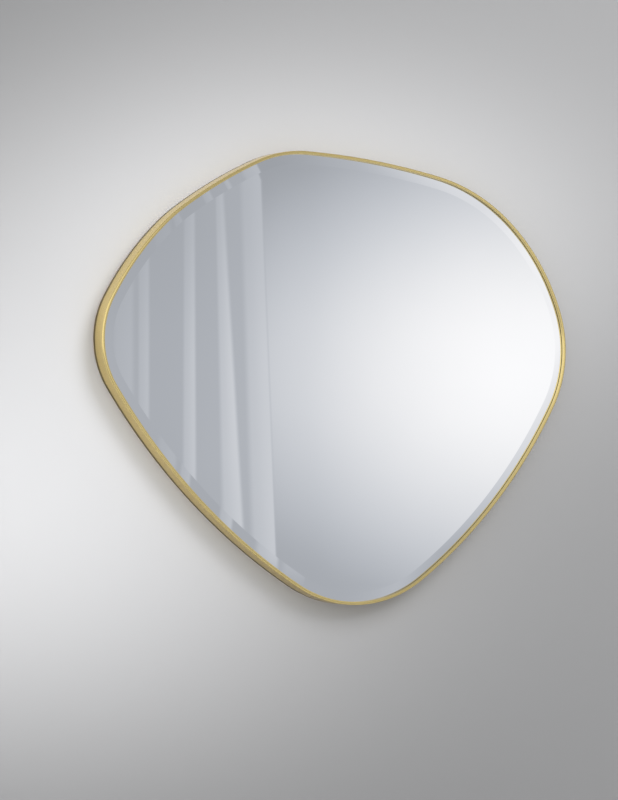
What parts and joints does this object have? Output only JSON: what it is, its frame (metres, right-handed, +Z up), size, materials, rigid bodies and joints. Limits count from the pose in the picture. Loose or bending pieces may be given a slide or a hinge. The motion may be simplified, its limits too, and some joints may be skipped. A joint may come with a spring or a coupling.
{
  "type": "irregular shaped mirror",
  "caption": "Wall mirror with an irregular rounded outline, a bevelled pane and a deep, narrow metal frame, hung by swinging rings behind.",
  "frame": {"origin": "on the wall plane, midway between the two hooks that carry the mirror", "axes": "+X to the right as seen from the front, +Y into the wall, +Z up; the mirror faces -Y"},
  "size_m": [0.8849, 0.035, 0.7439],
  "materials": {
    "frame_brass": "satin brushed brass finish",
    "clear_glass": "polished, with a polished bevel",
    "silvering": "silver coat with paint and film behind it",
    "black_rubber": "matt",
    "white_foam": "soft closed-cell foam",
    "fibreboard": "raw medium-density fibreboard",
    "zinc_steel": "bright zinc plating"
  },
  "bodies": {
    "mirror": {"frame_band": "frame_brass", "glazing_strip": "black_rubber", "mirror_glass": "clear_glass", "silvered_backing": "silvering", "foam_layer": "white_foam", "backing_board": "fibreboard", "fixing_tab_1": "zinc_steel", "fixing_tab_2": "zinc_steel", "fixing_tab_3": "zinc_steel", "fixing_tab_4": "zinc_steel", "fixing_tab_5": "zinc_steel", "fixing_tab_6": "zinc_steel", "fixing_tab_7": "zinc_steel", "fixing_tab_8": "zinc_steel", "tab_screw_1": "zinc_steel", "tab_screw_2": "zinc_steel", "tab_screw_3": "zinc_steel", "tab_screw_4": "zinc_steel", "tab_screw_5": "zinc_steel", "tab_screw_6": "zinc_steel", "tab_screw_7": "zinc_steel", "tab_screw_8": "zinc_steel", "hanger_strap_left": "zinc_steel", "hanger_strap_right": "zinc_steel", "hanger_screw_left_upper": "zinc_steel", "hanger_screw_left_lower": "zinc_steel", "hanger_screw_right_upper": "zinc_steel", "hanger_screw_right_lower": "zinc_steel", "wall_bumper_1": "black_rubber", "wall_bumper_2": "black_rubber", "wall_bumper_3": "black_rubber", "wall_bumper_4": "black_rubber", "bumper_screw_1": "zinc_steel", "bumper_screw_2": "zinc_steel", "bumper_screw_3": "zinc_steel", "bumper_screw_4": "zinc_steel"},
    "ring_left": {"hanger_ring_left": "zinc_steel"},
    "ring_right": {"hanger_ring_right": "zinc_steel"}
  },
  "joints": [
    {"name": "ring_left_swing", "type": "hinge", "parent": "mirror", "child": "ring_left", "pos_m": [-0.16, -0.0101, -0.03], "axis": [1, 0, 0], "range_deg": [0, 175]},
    {"name": "ring_right_swing", "type": "hinge", "parent": "mirror", "child": "ring_right", "pos_m": [0.16, -0.0101, -0.03], "axis": [1, 0, 0], "range_deg": [0, 175]}
  ]
}
